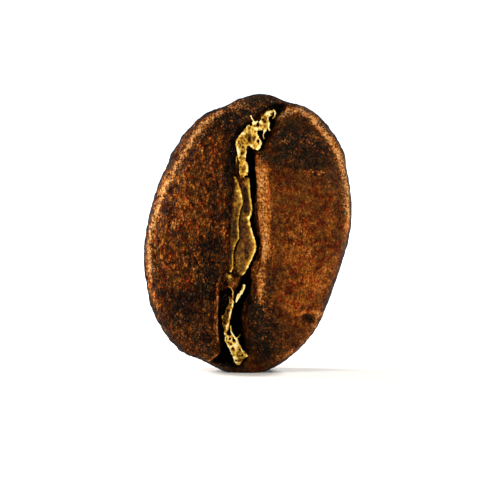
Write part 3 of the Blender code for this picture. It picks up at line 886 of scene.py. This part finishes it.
        # Fine ridges across the lips and rims
        roast += 0.50 * granular * noise_at(points, (0.18, 0.18, 0.08), 31.0)
        paint(mesh, "roast", roast)
        paint(mesh, "granular", granular)
        paint(mesh, "streaked", 0.35 + 0.65 * wrinkled)
        paint(mesh, "mossy", np.clip(front * brushed(MOSSY_STROKES, flat, strongest=True), 0.0, 1.0))


class BEAN_OT_silverskin(bpy.types.Operator):
    """Lays the flake, the ribbon, the leaf and the tuft in the crease"""

    bl_idname = "bean.silverskin"
    bl_label = "Silverskin"

    def execute(self, context):
        settings = context.scene.bean_silverskin
        filled = FilledFace(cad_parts["bean"].data)
        material = golden_silverskin(settings)
        for name, node, cut in SHEETS:
            piece = self.lay_sheet(name, node, cut, filled, settings)
            finish_piece(piece, material, node)
        return {"FINISHED"}

    def lay_sheet(self, name, node, cut, filled, settings):
        """Cuts a grid to a torn outline, lays it where its CAD strip is, folds it and thickens it."""
        piece = self.cut_grid(name, cut, settings)
        mesh = piece.data
        points = coordinates(mesh)
        flat = points[:, [0, 2]]
        folds = brushed(cut["folds"], flat)
        crumple = 0.6 * self.creases(points, (0.16, 1.0, 0.20), 2.0)
        crumple += 0.4 * self.creases(points, (0.08, 1.0, 0.11), 9.0)
        crumple *= cut["crumple"]
        depth = filled.front(flat) + self.depth_under_face(node, filled, flat[:, 1])
        points[:, 1] = depth - settings.fold_height / MM * folds - settings.crumple_height / MM * crumple
        place_points(mesh, points)
        edge = np.min([distance_to(outline, flat, closed=True) for outline in cut["outlines"]], axis=0)
        # The painted highlight of the folds is made uneven along them
        worn = 1.0 + 0.5 * noise_at(points, (0.12, 1.0, 0.12), 21.0)
        # Painted highlights on the folds, crumples and torn edges, lighter where they stand forward; folds of
        # negative strength get painted shade
        crest_highlight = cut["lightness"] + 0.40 * folds * worn + 0.42 * crumple
        crest_highlight += cut["painted_edge_highlight"] * np.exp(-((edge / 0.035) ** 2))
        paint(mesh, "crest_highlight", np.clip(crest_highlight, 0.0, 1.1))
        skin = piece.modifiers.new("skin", "SOLIDIFY")
        skin.thickness = settings.thickness
        skin.offset = -1.0
        apply_modifiers(piece)
        bpy.ops.object.shade_smooth()
        return piece

    def creases(self, points, stretch, seed):
        """Sharp ridges where the noise is nought, with hollows between them."""
        return 1.0 - 3.0 * np.abs(noise_at(points, stretch, seed))

    def cut_grid(self, name, cut, settings):
        """Adds a grid in the X-Z plane and deletes what lies outside the outlines and strands."""
        paths = [*cut["outlines"], *(path for path, _ in cut["strands"])]
        everything = np.vstack([points_of(path) for path in paths])
        low, high = everything.min(axis=0) - 0.1, everything.max(axis=0) + 0.1
        cell = settings.cell / MM
        columns, rows = (math.ceil(size / cell) for size in high - low)
        middle = (low + high) / 2.0 * MM
        bpy.ops.object.select_all(action="DESELECT")
        bpy.ops.mesh.primitive_grid_add(
            x_subdivisions=columns,
            y_subdivisions=rows,
            size=1.0,
            location=(middle[0], 0.0, middle[1]),
            rotation=(math.pi / 2.0, 0.0, 0.0),
        )
        piece = bpy.context.object
        piece.name = piece.data.name = name
        piece.scale = (columns * cell * MM, rows * cell * MM, 1.0)
        bpy.ops.object.transform_apply()
        self.select_waste(piece.data, cut, settings)
        bpy.context.tool_settings.mesh_select_mode = (False, False, True)
        bpy.ops.object.mode_set(mode="EDIT")
        bpy.ops.mesh.delete(type="FACE")
        bpy.ops.mesh.select_all(action="SELECT")
        bpy.ops.mesh.region_to_loop()
        bpy.ops.mesh.vertices_smooth(factor=0.5, repeat=2)
        bpy.ops.object.mode_set(mode="OBJECT")
        return piece

    def select_waste(self, mesh, cut, settings):
        """Selects the faces outside the outlines and strands, or in a hole."""
        centres = read_vectors(mesh.polygons, "center") / MM
        torn = centres[:, [0, 2]] + settings.tear / MM * wander(centres, (0.09, 1.0, 0.09), (1.0, 31.0))
        kept = np.zeros(len(torn), bool)
        for outline in cut["outlines"]:
            kept |= inside(outline, torn)
        for path, width in cut["strands"]:
            kept |= distance_to(path, torn) < width / TABLE_SCALE / 2.0
        for middle, radius in cut["holes"]:
            kept &= distance_to(middle, torn) > radius / TABLE_SCALE
        mesh.polygons.foreach_set("select", ~kept)

    def depth_under_face(self, node, filled, heights):
        """How deep under the filled face the CAD strip lies at each height, in millimetres."""
        points = coordinates(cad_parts[node].data)
        depths = points[:, 1] - filled.front(points[:, [0, 2]])
        edges = np.linspace(points[:, 2].min(), points[:, 2].max(), 9)
        middles, fronts = [], []
        for low, high in zip(edges, edges[1:]):
            band = depths[(points[:, 2] >= low) & (points[:, 2] <= high)]
            if len(band):
                middles.append((low + high) / 2.0)
                fronts.append(band.min())
        return np.interp(heights, middles, fronts)


class BEAN_OT_stage(bpy.types.Operator):
    """Sets the floor, the lights and the camera"""

    bl_idname = "bean.stage"
    bl_label = "Stage"

    def execute(self, context):
        settings = context.scene.bean_stage
        self.lay_floor(settings)
        for light in LIGHTS:
            self.hang_light(*light)
        world = bpy.data.worlds.new("studio")
        world.use_nodes = True
        sky = {"Color": (1.0, 1.0, 1.0, 1.0), "Strength": WORLD_STRENGTH}
        fill_inputs(world.node_tree.nodes["Background"], sky)
        context.scene.world = world
        self.place_camera(context, settings)
        context.scene.view_settings.view_transform = "Standard"
        return {"FINISHED"}

    def lay_floor(self, settings):
        """A pale sheet that lies flat under the seed and sweeps up far behind it."""
        bpy.ops.object.select_all(action="DESELECT")
        bpy.ops.mesh.primitive_grid_add(x_subdivisions=1, y_subdivisions=40, size=FLOOR_SIZE)
        floor = bpy.context.object
        floor.name = "studio_floor"
        points = coordinates(floor.data)
        # The far part bends up through a quarter circle
        turn = np.clip((points[:, 1] - FLOOR_FLAT) / FLOOR_BEND, 0.0, math.pi / 2.0)
        beyond = np.maximum(points[:, 1] - FLOOR_FLAT - FLOOR_BEND * turn, 0.0)
        bent = turn > 0.0
        points[bent, 1] = FLOOR_FLAT + FLOOR_BEND * np.sin(turn[bent])
        points[bent, 2] = FLOOR_BEND * (1.0 - np.cos(turn[bent])) + beyond[bent]
        floor.data.vertices.foreach_set("co", (points * MM).ravel())
        bpy.ops.object.shade_smooth()
        floor.data.materials.append(white_card(settings))

    def hang_light(self, name, azimuth, elevation, distance, size, power, colour):
        """A square soft light turned to the middle of the seed."""
        lamp = bpy.data.lights.new(name, "AREA")
        lamp.shape = "SQUARE"
        lamp.size = size * MM
        lamp.energy = power
        lamp.color = linear(colour)[:3]
        aim = Vector((0.0, 0.0, LIGHT_AIM * MM))
        self.set_up(name, lamp, math.radians(azimuth), math.radians(elevation), distance * MM, aim)

    def place_camera(self, context, settings):
        """Looks at the face from a little above, with a long lens."""
        lens = bpy.data.cameras.new("camera")
        lens.lens = settings.lens
        distance = settings.view_width * lens.lens / lens.sensor_width
        lens.clip_start = 1.0 * MM
        lens.clip_end = 20.0
        aim = Vector((settings.aim_x, 0.0, settings.aim_z))
        context.scene.camera = self.set_up("camera", lens, 0.0, settings.elevation, distance, aim)

    def set_up(self, name, device, azimuth, elevation, distance, aim):
        """Stands a lamp or the camera at a distance from its aim, turned to it."""
        level = math.cos(elevation)
        back = Vector((math.sin(azimuth) * level, -math.cos(azimuth) * level, math.sin(elevation)))
        piece = bpy.data.objects.new(name, device)
        piece.location = aim + back * distance
        piece.rotation_euler = back.to_track_quat("Z", "Y").to_euler()
        bpy.context.scene.collection.objects.link(piece)
        return piece


class BEAN_PT_panel(bpy.types.Panel):
    """Lists the pieces and their settings"""

    bl_label = "Coffee Bean"
    bl_idname = "BEAN_PT_panel"
    bl_space_type = "VIEW_3D"
    bl_region_type = "UI"
    bl_category = "Coffee Bean"

    def draw(self, context):
        for group, _, operator in GROUPS:
            box = self.layout.box()
            box.operator(operator.bl_idname)
            settings = getattr(context.scene, group)
            for name in settings.__annotations__:
                box.prop(settings, name)


GROUPS = (
    ("bean_seed", SeedSettings, BEAN_OT_seed),
    ("bean_silverskin", SilverskinSettings, BEAN_OT_silverskin),
    ("bean_stage", StageSettings, BEAN_OT_stage),
)
CLASSES = (*(kind for _, *kinds in GROUPS for kind in kinds), BEAN_PT_panel)


def register():
    for kind in CLASSES:
        bpy.utils.register_class(kind)
    for name, kind, _ in GROUPS:
        setattr(bpy.types.Scene, name, PointerProperty(type=kind))


def unregister():
    for name, _, _ in GROUPS:
        delattr(bpy.types.Scene, name)
    for kind in reversed(CLASSES):
        bpy.utils.unregister_class(kind)


def main():
    """Makes every piece and the stage."""
    register()
    bpy.ops.bean.seed()
    bpy.ops.bean.silverskin()
    bpy.ops.bean.stage()


if __name__ == "__main__":
    main()
